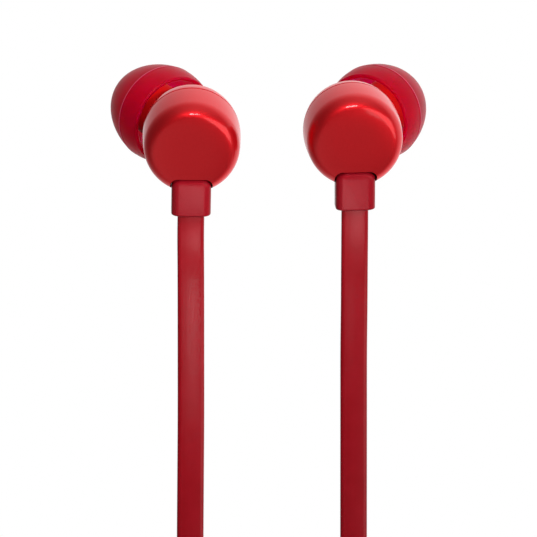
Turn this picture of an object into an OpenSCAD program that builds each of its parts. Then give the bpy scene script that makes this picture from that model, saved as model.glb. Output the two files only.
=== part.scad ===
// Wired in-ear earphones: two earbuds on flat cables, an in-line remote, a Y-split and a jack plug.
// Millimetres. X to the right, Y towards the ears, Z up, as worn.
// The origin lies midway between the two earbuds, where the ears hold them.

/* [Earbuds] */
// Distance between the two housings' centres
earbud_spacing = 20.3; // [20:0.1:21]
// Diameter of the round housing
housing_d = 12.4; // [12.4:0.05:12.8]
// Depth of the front cap, from the parting line to the middle of its face
cap_depth = 6; // [6:0.05:6.3]
// Diameter of the flat disc on the cap's face
disc_d = 9.6; // [9.2:0.1:9.8]
// Depth of the ear-side shell behind the parting line
rear_depth = 4.7; // [4.6:0.05:4.9]
// How far the nozzle leans outwards from the housing's axis, in degrees
nozzle_angle = 33; // [31:0.5:35]
// How far the nozzle leans upwards, in degrees
nozzle_rise = 2; // [0:0.5:4]
// Diameter of the nozzle that the ear tip is pushed onto
nozzle_d = 5; // [4.8:0.1:5]
// Largest diameter of the silicone ear tip
tip_d = 12.5; // [12.3:0.1:13]
// Diameter of the driver's frame
driver_d = 9; // [8.6:0.1:9]

/* [Cable] */
// Width of the flat cable
cable_w = 3.4; // [3:0.1:3.5]
// Thickness of the flat cable
cable_t = 1.2; // [1:0.05:1.25]
// Width of the strain relief under each earbud
collar_w = 5; // [4.6:0.1:5.2]
// Thickness of that strain relief
collar_t = 3.45; // [3:0.05:3.5]

/* [Remote] */
// Length of the remote's body
remote_l = 27; // [26:0.5:27]
// Width of the remote's body
remote_w = 7.4; // [7:0.1:8]
// Thickness of the remote's body
remote_t = 5; // [5:0.1:5.6]
// How far the button goes in
button_travel = 0.35; // [0.2:0.05:0.35]

/* [Plug] */
// Diameter of the jack plug's shaft
jack_d = 3.5; // [3.4:0.05:3.6]
// Diameter of the plug's handle
handle_d = 6.2; // [5.6:0.1:6.4]
// Length of the plug's handle
handle_l = 16; // [14:0.5:16]

/* [Hank] */
// Straight length of the hank's runs
hank_run = 54; // [52:1:56]
// Radius of the outer folds
fold_r = 12.4; // [12.2:0.1:12.6]
// Step from one turn to the next in a stack
turn_step = 1.8; // [1.8:0.05:1.9]
// How far the tie draws the runs in at the waist
waist_draw = 5; // [4:0.25:5]

/* [Hidden] */
$fn = 48;

// Finishes
metallic_red = "#a81c20";
shell_red = "#b0060c";
silicone_red = "#a8203a";
rubber_red = "#98202c";
cable_red = "#982028";
film = "#d8d4c4";
copper = "#b87333";
steel = "#b4b6ba";
magnet_grey = "#6a6c70";
board_green = "#1f5a3c";
black = "#1c1c1e";
paper = "#e6e0d0";
gold = "#d4aa50";

// How each earbud hangs: place of its parting plane's centre, then pitch, roll and yaw in degrees
left_place = [-earbud_spacing / 2, 0, -0.3];
left_turn = [23.3, 0.6, 1.8];
right_place = [earbud_spacing / 2, 0, 0.3];
right_turn = [18.8, -1.5, 3.75];

// Housing, along its axis from the cap's face (negative) to the ear (positive)
housing_r = housing_d / 2;
disc_r = disc_d / 2;
crown = 0.14;
disc_level = -(cap_depth - crown);
disc_edge_r = 0.7;
flank_w = 1.9;
flank_l = 2.75;
flank_end = disc_level + 2.56;
cap_wall = 0.9;
joint_bevel = 0.1;
lip_l = 1.2;
lip_gap = 0.05;
cap_bore_r = housing_r - cap_wall;
driver_r = driver_d / 2;
driver_gap = 0.1;
shelf_level = 2.35;
chamber_r = driver_r - 0.6;
chamber_end = 3.7;
rear_curve_l = 5.6;
rear_curve_w = 2.7;
rear_shoulder = 3;
rear_end_r = 3.4;

// Nozzle and ear tip, along the nozzle's axis from where it crosses the housing's axis
nozzle_root = 1.46;
nozzle_r = nozzle_d / 2;
nozzle_end = 12;
neck_r = 3.5;
neck_end = 5.3;
barb_r = nozzle_r + 0.25;
barb_l = 1.2;
sound_bore_r = 1.9;
mesh_r = 2.15;
mesh_t = 0.3;
tip_r = tip_d / 2;
tip_rim = 4.1;
tip_rim_r = tip_r - 0.45;
tip_widest = 6.9;
tip_dome_l = 8.25;
tip_dome_power = 1.64;
tip_shown = 0.8;
tip_wall = 0.6;
tip_bore_r = barb_r + 0.05;
tip_mouth_r = 2;
tip_front = 14.1;
core_start = neck_end + 0.1;

// Collar under each earbud, in the earbud's own frame
collar_front = disc_level + 0.1;
collar_top = -3.8;
collar_bottom = -8.7;
collar_corner = 0.7;
notch_gap = 0.05;
notch_corner = 1;

// Driver, along the housing's axis
frame_back = -0.2;
frame_front = 2;
frame_ledge = 1.48;
film_t = 0.12;
yoke_r = 2.5;
yoke_wall = 0.4;
yoke_back = -1.3;
yoke_front = 0.9;
magnet_r = 1.5;
magnet_front = 0.3;
plate_front = 0.75;
coil_in_r = 1.7;
coil_out_r = 1.95;
board_level = -1.65;

// Cable: hand-chosen routes from inside each collar down to the hank
branch_x = 10.4;
cable_y = 2.6;
left_route = [
    [-10.2, -0.97, -8.55], [-10.3, 0.95, -13.05], [-10.3, 1.9, -17], [-10.3, 2.4, -22], [-10.3, 2.6, -28],
    [-10.3, 2.6, -36], [-10.35, 2.6, -44], [-10.4, 2.6, -52], [-10.4, 2.6, -60], [-10.4, 2.6, -68],
    [-10.4, 2.6, -76], [-10.4, 2.6, -83], [-10.4, 2.6, -90]
];
right_route = [
    [10.47, -1.59, -7.85], [10.48, 0, -12.5], [10.47, 1, -17], [10.45, 1.6, -22], [10.4, 1.95, -28],
    [10.4, 2.2, -36], [10.4, 2.4, -44], [10.4, 2.6, -50], [10.4, 2.6, -55]
];

// Remote, around its own middle
remote_z = -72.5;
remote_span = 35;
remote_wall = 0.75;
relief_l = (remote_span - remote_l) / 2;
relief_w = 5;
relief_t = 2.8;
button_l = 9;
button_w = 4.4;
button_gap = 0.15;
button_proud = 0.5;
flange_t = 0.4;
flange_edge = 0.5;
dome_top = -0.55;
board_front = 0.2;
board_t = 0.6;
microphone_z = -8.5;
microphone_r = 1.9;

// Hank: lanes side by side along X, turns stacked in the Y-Z plane
hank_place = [0, cable_y, -136];
hank_half = hank_run / 2;
hank_top = 46;
entry_l = 40;
bell_half = 19;
lane = branch_x / 2.5;
outer_lane = branch_x;
inner_lane = branch_x - lane;
in_lane = -lane / 2;
out_lane = lane / 2;
run_steps = 5;
fold_steps = 7;
split_r = 15.2;
split_bottom = 4;
split_l = 13;
split_w = 9.2;
split_t = 3.6;
split_neck_w = 5.4;
split_spread = 1.9;
tail_r = 17;
tail_end = 3;
tie_w = 6;
tie_t = 1;
tie_x = outer_lane + cable_w / 2 + 0.5;
tie_y = fold_r - waist_draw + 2;
tie_corner = 1.5;

// Plug, along its axis from the handle's end face (0) to the tip (negative)
plug_place = hank_place + [out_lane, -tail_r, tail_end - 7 - handle_l];
jack_r = jack_d / 2;
plug_relief_l = 7;
plug_relief_w = 4.6;
plug_relief_t = 2.6;
sleeve_end = -4;
sleeve_seat = 4;
shank_r = jack_r - 0.25;
insulator_l = 0.6;
ring_l = 2;
jack_bore_r = 0.6;
jack_rod_r = 0.55;
pole_step = insulator_l + ring_l;
tip_start = sleeve_end - 2 * pole_step - insulator_l;

// Small helpers
function flat(lists) = [for (list = lists) for (item = list) item];
function unit(v) = v / norm(v);
function ease(u) = (1 - cos(180 * u)) / 2;
function oval_arc(centre, wide, tall, from, to, steps) = [
    for (i = [0:steps])
        let (turn = from + (to - from) * i / steps)
        [centre.x + wide * cos(turn), centre.y + tall * sin(turn)]
];

// A rectangle with round corners, as an outline
function round_rect(w, h, r) = flat([
    oval_arc([w / 2 - r, h / 2 - r], r, r, 0, 90, 5),
    oval_arc([r - w / 2, h / 2 - r], r, r, 90, 180, 5),
    oval_arc([r - w / 2, r - h / 2], r, r, 180, 270, 5),
    oval_arc([w / 2 - r, r - h / 2], r, r, 270, 360, 5)
]);

// A block whose outlines are rounded in the X-Z view and in the X-Y view
module soft_block(w, t, l, face_corner, edge_corner) {
    intersection() {
        rotate([90, 0, 0]) linear_extrude(t, center = true) polygon(round_rect(w, l, face_corner));
        linear_extrude(l, center = true) polygon(round_rect(w, t, edge_corner));
    }
}

// An oblong bar along Y with round ends, its long side along Z
module oblong(w, l, y0, y1) {
    for (end = [-1, 1])
        translate([0, y0, end * (l - w) / 2]) rotate([-90, 0, 0]) cylinder(d = w, h = y1 - y0);
    translate([-w / 2, y0, -(l - w) / 2]) cube([w, y1 - y0, l - w]);
}

// A round bar between two points
module bar(from, to, r) {
    way = to - from;
    translate(from)
        rotate([0, acos(way.z / norm(way)), atan2(way.y, way.x)])
            cylinder(r = r, h = norm(way), $fn = 16);
}

// A tube ring along Z
module washer(outer, inner, from, to) {
    translate([0, 0, from]) difference() {
        cylinder(r = outer, h = to - from);
        translate([0, 0, -1]) cylinder(r = inner, h = to - from + 2);
    }
}

// Frames of the earbuds
module at_earbud(side) {
    translate(side < 0 ? left_place : right_place) rotate(side < 0 ? left_turn : right_turn) children();
}
module along_housing() {
    rotate([-90, 0, 0]) children();
}
module along_nozzle(side) {
    translate([0, nozzle_root, 0]) rotate([nozzle_rise - 90, 0, -side * nozzle_angle]) children();
}

// Outline of the cap from the middle of its crowned disc round the edge to the parting line
function cap_outline() = flat([
    [for (i = [0:4]) [disc_r * i / 4, disc_level - crown * (1 - pow(i / 4, 2))]],
    oval_arc([disc_r, disc_level + disc_edge_r], disc_edge_r, disc_edge_r, -78, -51, 3),
    oval_arc([housing_r - flank_w, flank_end], flank_w, flank_l, -60, 0, 12),
    [[housing_r, -joint_bevel], [housing_r - joint_bevel, 0]]
]);

// Outline of the ear-side shell from the parting line to its blunt end
function rear_outline() = flat([
    [[housing_r - joint_bevel, 0], [housing_r, joint_bevel]],
    [for (a = [0.5:0.5:rear_shoulder])
        [housing_r - rear_curve_w * (1 - sqrt(1 - pow(a / rear_curve_l, 2))), a]],
    oval_arc([rear_end_r, rear_shoulder], 2.3, rear_depth - rear_shoulder, 12, 90, 7),
    [[0, rear_depth]]
]);

// Outline of the ear tip's outer skin from the rim to the mouth
function tip_skin(t) = t < tip_widest
    ? tip_r - (tip_r - tip_rim_r) * pow((tip_widest - t) / (tip_widest - tip_rim), 2)
    : tip_r * sqrt(1 - pow((t - tip_widest) / tip_dome_l, tip_dome_power));
tip_shoulder = tip_widest + tip_shown * tip_dome_l;
tip_hollow_end = tip_widest + 5;
function tip_outline() = flat([
    [for (i = [0:4]) let (t = tip_rim + (tip_widest - tip_rim) * i / 4) [tip_skin(t), t]],
    [for (i = [1:9]) let (t = tip_widest + (tip_shoulder - tip_widest) * i / 9) [tip_skin(t), t]],
    [[2.85, tip_front - 0.18], [2.4, tip_front], [tip_mouth_r, tip_front - 0.15]],
    [[tip_mouth_r, nozzle_end + 0.4], [tip_bore_r, nozzle_end + 0.3]],
    [[tip_bore_r, core_start], [neck_r, core_start], [neck_r, tip_hollow_end]],
    [for (i = [7:-1:1]) let (t = tip_widest + (tip_hollow_end - tip_widest) * i / 8)
        [tip_skin(t) - tip_wall * (1 + i / 8), t]],
    [for (i = [4:-2:0]) let (t = tip_rim + (tip_widest - tip_rim) * i / 4) [tip_skin(t) - tip_wall, t]]
]);

// The opening in the cap that the collar sits in, grown by a gap
module notch(gap) {
    w = collar_w + 2 * gap;
    top = collar_top + gap;
    translate([-w / 2, collar_front - 1, collar_bottom - 1])
        cube([w, collar_t + 1 + gap, top - notch_corner - collar_bottom + 1]);
    translate([notch_corner - w / 2, collar_front - 1, top - notch_corner - 1])
        cube([w - 2 * notch_corner, collar_t + 1 + gap, notch_corner + 1]);
    for (x = [-1, 1])
        translate([x * (w / 2 - notch_corner), collar_front - 1, top - notch_corner])
            rotate([-90, 0, 0]) cylinder(r = notch_corner, h = collar_t + 1 + gap);
}

// Earbud housing
module front_cap(side) {
    color(metallic_red) at_earbud(side) difference() {
        along_housing() rotate_extrude($fn = 96) polygon(flat([
            cap_outline(),
            [[cap_bore_r, 0], [cap_bore_r, -3.4], [4.2, -4.9], [0, -4.9]]
        ]));
        notch(notch_gap);
    }
}

module rear_shell(side) {
    color(shell_red) at_earbud(side) difference() {
        union() {
            along_housing() rotate_extrude($fn = 96) polygon(flat([
                [[0, -lip_l], [cap_bore_r - lip_gap, -lip_l], [cap_bore_r - lip_gap, 0]],
                rear_outline()
            ]));
            along_nozzle(side) {
                translate([0, 0, 2]) cylinder(r = neck_r, h = neck_end - 2);
                translate([0, 0, 2]) cylinder(r = nozzle_r, h = nozzle_end - 2);
                translate([0, 0, nozzle_end - 2 * barb_l])
                    cylinder(r1 = nozzle_r, r2 = barb_r, h = barb_l / 2);
                translate([0, 0, nozzle_end - 1.5 * barb_l])
                    cylinder(r1 = barb_r, r2 = nozzle_r, h = barb_l);
            }
        }
        along_housing() {
            translate([0, 0, -lip_l - 1]) cylinder(r = driver_r + driver_gap, h = shelf_level + lip_l + 1);
            translate([0, 0, shelf_level - 0.01])
                cylinder(r1 = chamber_r, r2 = chamber_r - 1, h = chamber_end - shelf_level);
        }
        along_nozzle(side) {
            translate([0, 0, 1.2]) cylinder(r = sound_bore_r, h = nozzle_end);
            translate([0, 0, nozzle_end - 2 * mesh_t]) cylinder(r = mesh_r, h = 1);
        }
    }
}

module nozzle_mesh(side) {
    color(steel) at_earbud(side) along_nozzle(side)
        translate([0, 0, nozzle_end - 2 * mesh_t]) cylinder(r = mesh_r - 0.02, h = mesh_t);
}

module ear_tip(side) {
    color(silicone_red) at_earbud(side) along_nozzle(side)
        rotate_extrude($fn = 96) polygon(tip_outline());
}

module strain_relief(side) {
    color(rubber_red) at_earbud(side) intersection() {
        notch(0);
        translate([0, collar_front + collar_t / 2, (collar_top + collar_bottom) / 2])
            soft_block(collar_w, collar_t, collar_top - collar_bottom, 0.6, collar_corner);
    }
}

module cable_anchor(side) {
    color(copper) at_earbud(side)
        translate([0, collar_front + collar_t / 2, collar_top + 0.45])
            cube([3, 1.6, 0.9], center = true);
}

module lead_wires(side) {
    color(copper) at_earbud(side)
        for (x = [-0.7, 0.7])
            bar([x, collar_front + collar_t / 2, collar_top + 0.9], [x, board_level, -0.9], 0.2);
}

// Driver
module front_gasket(side) {
    color(black) at_earbud(side) along_housing()
        washer(driver_r, chamber_r, frame_front, shelf_level - 0.05);
}

module driver_frame(side) {
    ledge_r = driver_r - 0.9;
    color(black) at_earbud(side) along_housing() rotate_extrude() polygon([
        [yoke_r + 0.05, frame_back], [driver_r, frame_back], [driver_r, frame_front],
        [driver_r - 0.5, frame_front], [driver_r - 0.5, frame_ledge], [ledge_r, frame_ledge],
        [ledge_r, frame_back + 0.45], [yoke_r + 0.05, frame_back + 0.45]
    ]);
}

module diaphragm(side) {
    crest = [[0, 2.05], [1, 1.95], [coil_out_r, 1.6], [2.9, 1.85], [driver_r - 0.6, 1.6]];
    under = [for (i = [len(crest) - 1:-1:0]) crest[i] - [0, film_t]];
    color(film) at_earbud(side) along_housing() rotate_extrude() polygon(concat(crest, under));
}

module voice_coil(side) {
    color(copper) at_earbud(side) along_housing() washer(coil_out_r, coil_in_r, 0.1, 1.45);
}

module top_plate(side) {
    color(steel) at_earbud(side) along_housing()
        translate([0, 0, magnet_front]) cylinder(r = magnet_r + 0.05, h = plate_front - magnet_front);
}

module magnet(side) {
    floor_level = yoke_back + yoke_wall;
    color(magnet_grey) at_earbud(side) along_housing()
        translate([0, 0, floor_level]) cylinder(r = magnet_r, h = magnet_front - floor_level);
}

module yoke(side) {
    color(steel) at_earbud(side) along_housing() difference() {
        translate([0, 0, yoke_back]) cylinder(r = yoke_r, h = yoke_front - yoke_back);
        translate([0, 0, yoke_back + yoke_wall]) cylinder(r = yoke_r - yoke_wall, h = 5);
    }
}

module damping_ring(side) {
    color(paper) at_earbud(side) along_housing()
        washer(driver_r - 0.1, yoke_r + 0.1, frame_back - 0.15, frame_back);
}

module terminal_board(side) {
    color(board_green) at_earbud(side)
        translate([0, (board_level + yoke_back) / 2, -0.3])
            cube([3.6, yoke_back - board_level, 2.4], center = true);
}

// Flat cable: a six-sided section for the hank and an eight-sided one for the free stretches
function cable_section(sides) =
    let (w = cable_w / 2, t = cable_t / 2)
    sides == 6
        ? [[w, 0], [w - 0.35, t], [0.35 - w, t], [-w, 0], [0.35 - w, -t], [w - 0.35, -t]]
        : [[w, 0.3], [w - 0.3, t], [0.3 - w, t], [-w, 0.3], [-w, -0.3], [0.3 - w, -t], [w - 0.3, -t], [w, -0.3]];

// Rings of the section along a path, with the cable's width kept along X
function heading(path, i) = unit(path[min(i + 1, len(path) - 1)] - path[max(i - 1, 0)]);
function cable_ring(path, i, section) =
    let (across = unit(cross([1, 0, 0], heading(path, i))))
    [for (p = section) path[i] + p.x * [1, 0, 0] + p.y * across];

module flat_cable(path, sides) {
    section = cable_section(sides);
    last = (len(path) - 1) * sides;
    polyhedron(
        points = flat([for (i = [0:len(path) - 1]) cable_ring(path, i, section)]),
        faces = flat([
            [[for (k = [sides - 1:-1:0]) k], [for (k = [0:sides - 1]) last + k]],
            flat([for (i = [0:len(path) - 2]) for (k = [0:sides - 1])
                let (a = i * sides + k, b = i * sides + (k + 1) % sides)
                [[a, b, b + sides], [a, b + sides, a + sides]]])
        ])
    );
}

function path_length(path) = let (steps = [for (i = [1:len(path) - 1]) norm(path[i] - path[i - 1])])
    steps * [for (s = steps) 1];

// Least gap between stretches of a path that aren't neighbours, from its points to its segments
function nearest(p, a, b) =
    let (along = [0, (b - a).y, (b - a).z], u = ((p - a) * along) / (along * along))
    a + (b - a) * max(0, min(1, u));
function gap_between(p, q) =
    norm([max(0, abs(p.x - q.x) - cable_w), max(0, norm([0, p.y - q.y, p.z - q.z]) - cable_t)]);
function least_gap(path) = min([
    for (i = [0:len(path) - 1]) for (j = [0:len(path) - 2])
        if (abs(i - j) > 4) gap_between(path[i], nearest(path[i], path[j], path[j + 1]))
]);

// Hank: runs drawn in at the waist, and the folds at its two ends
function bell(z) = abs(z) < bell_half ? (1 + cos(180 * z / bell_half)) / 2 : 0;
function drawn_in(r, z) = r - waist_draw * bell(z);
function front_run(x0, x1, r, first) = [
    for (i = [first:run_steps])
        let (z = hank_half * (1 - 2 * i / run_steps))
        [x0 + (x1 - x0) * ease(i / run_steps), -drawn_in(r, z), z]
];
function back_run(x0, x1, r) = [
    for (i = [1:run_steps])
        let (z = hank_half * (2 * i / run_steps - 1))
        [x0 + (x1 - x0) * ease(i / run_steps), drawn_in(r, z), z]
];
function low_fold(x0, x1, r0, r1) = [
    for (i = [1:fold_steps])
        let (u = i / fold_steps, r = r0 + (r1 - r0) * u)
        [x0 + (x1 - x0) * pow(max(0, 2 * u - 1), 2), -r * cos(180 * u), -hank_half - r * sin(180 * u)]
];
function high_fold(x, r0, r1) = [
    for (i = [1:fold_steps])
        let (u = i / fold_steps, r = r0 + (r1 - r0) * u)
        [x, r * cos(180 * u), hank_half + r * sin(180 * u)]
];
function in_hank(path) = [for (p = path) hank_place + p];

// A branch comes down between the folds, goes round in its outer lane and its inner lane,
// and crosses the back of the hank to the Y-split
split_share = 0.46;
split_steps = 4;
function hank_entry(x) = flat([
    [[x, 0, hank_top]],
    [for (z = [entry_l:-8:0]) [x, -(fold_r - waist_draw) * (1 + cos(180 * z / entry_l)) / 2, z]]
]);
function split_run(x0, x1) = [
    for (i = [1:split_steps])
        let (u = i / split_steps)
        [x1 + (x0 - x1) * pow(1 - u, 2), split_r, -hank_half + (hank_half + split_bottom - cable_w) * u]
];
function branch_path(side) =
    let (outer = side * outer_lane, inner = side * inner_lane,
         end = in_lane + side * split_spread, halfway = inner + (end - inner) * split_share)
    in_hank(flat([
        hank_entry(outer),
        front_run(outer, outer, fold_r, 3),
        low_fold(outer, outer, fold_r, fold_r),
        back_run(outer, inner, fold_r),
        high_fold(inner, fold_r, fold_r),
        front_run(inner, inner, fold_r, 1),
        low_fold(inner, halfway, fold_r, split_r),
        split_run(halfway, end),
        [[end, split_r, split_bottom]]
    ]));

// The common cable spirals in through one lane and out through the next, and its tail hangs down in front
function stack_r(turn) = fold_r - turn * turn_step;
function common_path() = in_hank(flat([
    [for (z = [split_bottom + split_l:(hank_half - split_bottom - split_l) / 2:hank_half]) [in_lane, split_r, z]],
    high_fold(in_lane, split_r, stack_r(0)),
    flat([for (turn = [0:1]) flat([
        front_run(in_lane, in_lane, stack_r(turn), 1),
        low_fold(in_lane, in_lane, stack_r(turn), stack_r(turn + 0.5)),
        back_run(in_lane, in_lane, stack_r(turn + 0.5)),
        high_fold(in_lane, stack_r(turn + 0.5), stack_r(turn + 1))
    ])]),
    front_run(in_lane, out_lane, stack_r(2), 1),
    low_fold(out_lane, out_lane, stack_r(2), stack_r(1.5)),
    back_run(out_lane, out_lane, stack_r(1.5)),
    high_fold(out_lane, stack_r(1.5), stack_r(1)),
    front_run(out_lane, out_lane, stack_r(1), 1),
    low_fold(out_lane, out_lane, stack_r(1), stack_r(0.5)),
    back_run(out_lane, out_lane, stack_r(0.5)),
    high_fold(out_lane, stack_r(0.5), tail_r),
    [for (i = [1:3]) [out_lane, -tail_r, hank_half + (tail_end - hank_half) * i / 3]]
]));

module free_cable(route) {
    echo("free stretch length", path_length(route));
    color(cable_red) flat_cable(route, 8);
}

module hank(path) {
    echo("hank length", path_length(path), "least gap to itself", least_gap(path));
    color(cable_red) flat_cable(path, 6);
}

module cable_tie() {
    color(black) translate(hank_place - [0, 0, tie_w / 2]) linear_extrude(tie_w) difference() {
        polygon(round_rect(2 * (tie_x + tie_t), 2 * (tie_y + tie_t), tie_corner + tie_t));
        polygon(round_rect(2 * tie_x, 2 * tie_y, tie_corner));
    }
}

module y_split() {
    half = split_w / 2;
    neck = split_neck_w / 2;
    bevel = 0.6;
    color(rubber_red) translate(hank_place + [in_lane, split_r, split_bottom]) intersection() {
        rotate([90, 0, 0]) linear_extrude(split_t, center = true) polygon([
            [bevel - half, 0], [half - bevel, 0], [half, bevel], [half, split_l * 0.5],
            [neck, split_l * 0.85], [neck, split_l], [-neck, split_l], [-neck, split_l * 0.85],
            [-half, split_l * 0.5], [-half, bevel]
        ]);
        linear_extrude(split_l) polygon(round_rect(split_w, split_t, 0.9));
    }
}

// Remote
module at_remote() {
    translate([branch_x, cable_y, remote_z]) children();
}

module remote_shell_half(side) {
    inside_w = remote_w - 2 * remote_wall;
    inside_t = remote_t - 2 * remote_wall;
    difference() {
        soft_block(remote_w, remote_t, remote_l, 2.2, 1.6);
        cube([inside_w, inside_t, remote_l - 2 * remote_wall], center = true);
        translate([-remote_w, side < 0 ? 0 : -remote_t, -remote_l])
            cube([2 * remote_w, remote_t, 2 * remote_l]);
    }
}

module remote_front() {
    color(rubber_red) at_remote() difference() {
        remote_shell_half(-1);
        oblong(button_w, button_l, -remote_t, 0);
        translate([0, -remote_t, microphone_z]) rotate([-90, 0, 0]) cylinder(r = 0.45, h = remote_t);
    }
}

module remote_back() {
    inside_t = remote_t / 2 - remote_wall;
    rib_front = board_front + board_t;
    color(rubber_red) at_remote() {
        remote_shell_half(1);
        for (z = [-9, 9])
            translate([-2, rib_front, z - 0.5]) cube([4, inside_t - rib_front + 0.2, 1]);
    }
}

module remote_button() {
    w = button_w - 2 * button_gap;
    l = button_l - 2 * button_gap;
    back = remote_wall - remote_t / 2 + 0.05;
    color(silicone_red) at_remote() {
        oblong(w, l, -remote_t / 2 - button_proud, back + flange_t);
        oblong(button_w + flange_edge, button_l + flange_edge, back, back + flange_t);
        translate([0, back + flange_t - 0.01, 0]) rotate([-90, 0, 0])
            cylinder(r = 0.5, h = dome_top - button_travel - 0.05 - back - flange_t);
    }
}

module remote_board() {
    color(board_green) at_remote()
        translate([-2.6, board_front, -11.5]) cube([5.2, board_t, 23]);
}

module remote_switch() {
    color(steel) at_remote() {
        translate([-1.5, -0.3, -1.5]) cube([3, board_front + 0.3, 3]);
        translate([0, dome_top, 0]) rotate([-90, 0, 0]) cylinder(r1 = 0.7, r2 = 1.2, h = -0.3 - dome_top);
    }
}

module remote_microphone() {
    color(steel) at_remote()
        translate([0, -0.9, microphone_z]) rotate([-90, 0, 0]) cylinder(r = microphone_r, h = board_front + 0.9);
}

module remote_relief(end) {
    color(rubber_red) at_remote()
        translate([0, 0, end * (remote_l + relief_l) / 2]) soft_block(relief_w, relief_t, relief_l, 0.4, 0.7);
}

// Plug
module at_plug() {
    translate(plug_place) children();
}

module plug_relief() {
    color(rubber_red) at_plug() translate([0, 0, handle_l + plug_relief_l / 2])
        soft_block(plug_relief_w, plug_relief_t, plug_relief_l, 0.5, 0.7);
}

module plug_handle() {
    r = handle_d / 2;
    color(rubber_red) at_plug() difference() {
        rotate_extrude($fn = 64) polygon([
            [0, 0], [r - 0.5, 0], [r, 0.5], [r, handle_l - 2], [r - 0.4, handle_l - 0.6],
            [r - 1, handle_l], [0, handle_l]
        ]);
        translate([0, 0, -1]) cylinder(r = shank_r + 0.02, h = sleeve_seat + 1.02);
    }
}

module plug_sleeve() {
    color(gold) at_plug() {
        washer(jack_r, jack_bore_r, sleeve_end, 0);
        washer(shank_r, jack_bore_r, -0.01, sleeve_seat);
    }
}

module plug_rings() {
    color(gold) at_plug() for (i = [0, 1])
        washer(jack_r, jack_bore_r, sleeve_end - (i + 1) * pole_step, sleeve_end - i * pole_step - insulator_l);
}

module plug_insulators() {
    color(black) at_plug() for (i = [0, 1, 2])
        washer(jack_r, jack_bore_r, sleeve_end - i * pole_step - insulator_l, sleeve_end - i * pole_step);
}

module plug_tip() {
    color(gold) at_plug() {
        translate([0, 0, tip_start]) rotate_extrude($fn = 64) polygon([
            [0, 0], [jack_r, 0], [jack_r, -0.7], [1.15, -1.8], [1.6, -2.6], [1.6, -3], [0.7, -4.2], [0, -4.2]
        ]);
        translate([0, 0, tip_start - 0.5]) cylinder(r = jack_rod_r, h = sleeve_seat - tip_start + 0.4);
    }
}

front_cap(-1);  // left_front_cap
rear_shell(-1);  // left_rear_shell
nozzle_mesh(-1);  // left_nozzle_mesh
ear_tip(-1);  // left_ear_tip
strain_relief(-1);  // left_strain_relief
cable_anchor(-1);  // left_cable_anchor
lead_wires(-1);  // left_lead_wires
front_gasket(-1);  // left_front_gasket
driver_frame(-1);  // left_driver_frame
diaphragm(-1);  // left_diaphragm
voice_coil(-1);  // left_voice_coil
top_plate(-1);  // left_top_plate
magnet(-1);  // left_magnet
yoke(-1);  // left_yoke
damping_ring(-1);  // left_damping_ring
terminal_board(-1);  // left_terminal_board
front_cap(1);  // right_front_cap
rear_shell(1);  // right_rear_shell
nozzle_mesh(1);  // right_nozzle_mesh
ear_tip(1);  // right_ear_tip
strain_relief(1);  // right_strain_relief
cable_anchor(1);  // right_cable_anchor
lead_wires(1);  // right_lead_wires
front_gasket(1);  // right_front_gasket
driver_frame(1);  // right_driver_frame
diaphragm(1);  // right_diaphragm
voice_coil(1);  // right_voice_coil
top_plate(1);  // right_top_plate
magnet(1);  // right_magnet
yoke(1);  // right_yoke
damping_ring(1);  // right_damping_ring
terminal_board(1);  // right_terminal_board
free_cable(left_route);  // left_cable
free_cable(right_route);  // right_cable
hank(branch_path(-1));  // left_hank
hank(branch_path(1));  // right_hank
hank(common_path());  // common_hank
cable_tie();
y_split();
remote_front();
remote_back();
remote_button();
remote_board();
remote_switch();
remote_microphone();
remote_relief(1);  // remote_upper_relief
remote_relief(-1);  // remote_lower_relief
plug_relief();
plug_handle();
plug_sleeve();
plug_rings();
plug_insulators();
plug_tip();
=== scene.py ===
"""Wired in-ear earphones, dressed: lathed and moulded housings, flat cable, remote, plug and studio light.

The pieces are modelled in millimetres and applied in metres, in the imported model's frame:
X to the right, Y towards the ears, Z up, with the origin midway between the earbuds.
"""

import math

import bmesh
import bpy
from mathutils import Euler, Matrix, Vector


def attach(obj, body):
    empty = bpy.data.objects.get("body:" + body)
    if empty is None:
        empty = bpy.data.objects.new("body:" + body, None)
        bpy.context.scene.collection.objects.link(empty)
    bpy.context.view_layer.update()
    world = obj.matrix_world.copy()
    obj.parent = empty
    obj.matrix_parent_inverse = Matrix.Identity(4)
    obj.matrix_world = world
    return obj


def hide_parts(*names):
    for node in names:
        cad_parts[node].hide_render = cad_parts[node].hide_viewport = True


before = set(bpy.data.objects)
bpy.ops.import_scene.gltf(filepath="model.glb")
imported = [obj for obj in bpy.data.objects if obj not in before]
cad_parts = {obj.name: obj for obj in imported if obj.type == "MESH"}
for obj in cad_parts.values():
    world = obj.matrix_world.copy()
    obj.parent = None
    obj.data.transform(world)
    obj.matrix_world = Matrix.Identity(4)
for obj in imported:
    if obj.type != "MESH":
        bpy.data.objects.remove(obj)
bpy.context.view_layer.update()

# Sizes in millimetres and degrees, most of them as in the CAD source

MM = 0.001
HAIR = 0.01
TOUCH = 1e-4
ROOT = "earphones"

EARBUDS = {
    "left": {"side": -1, "place": (-10.15, 0, -0.3), "turn": (23.3, 0.6, 1.8)},
    "right": {"side": 1, "place": (10.15, 0, 0.3), "turn": (18.8, -1.5, 3.75)},
}

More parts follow.
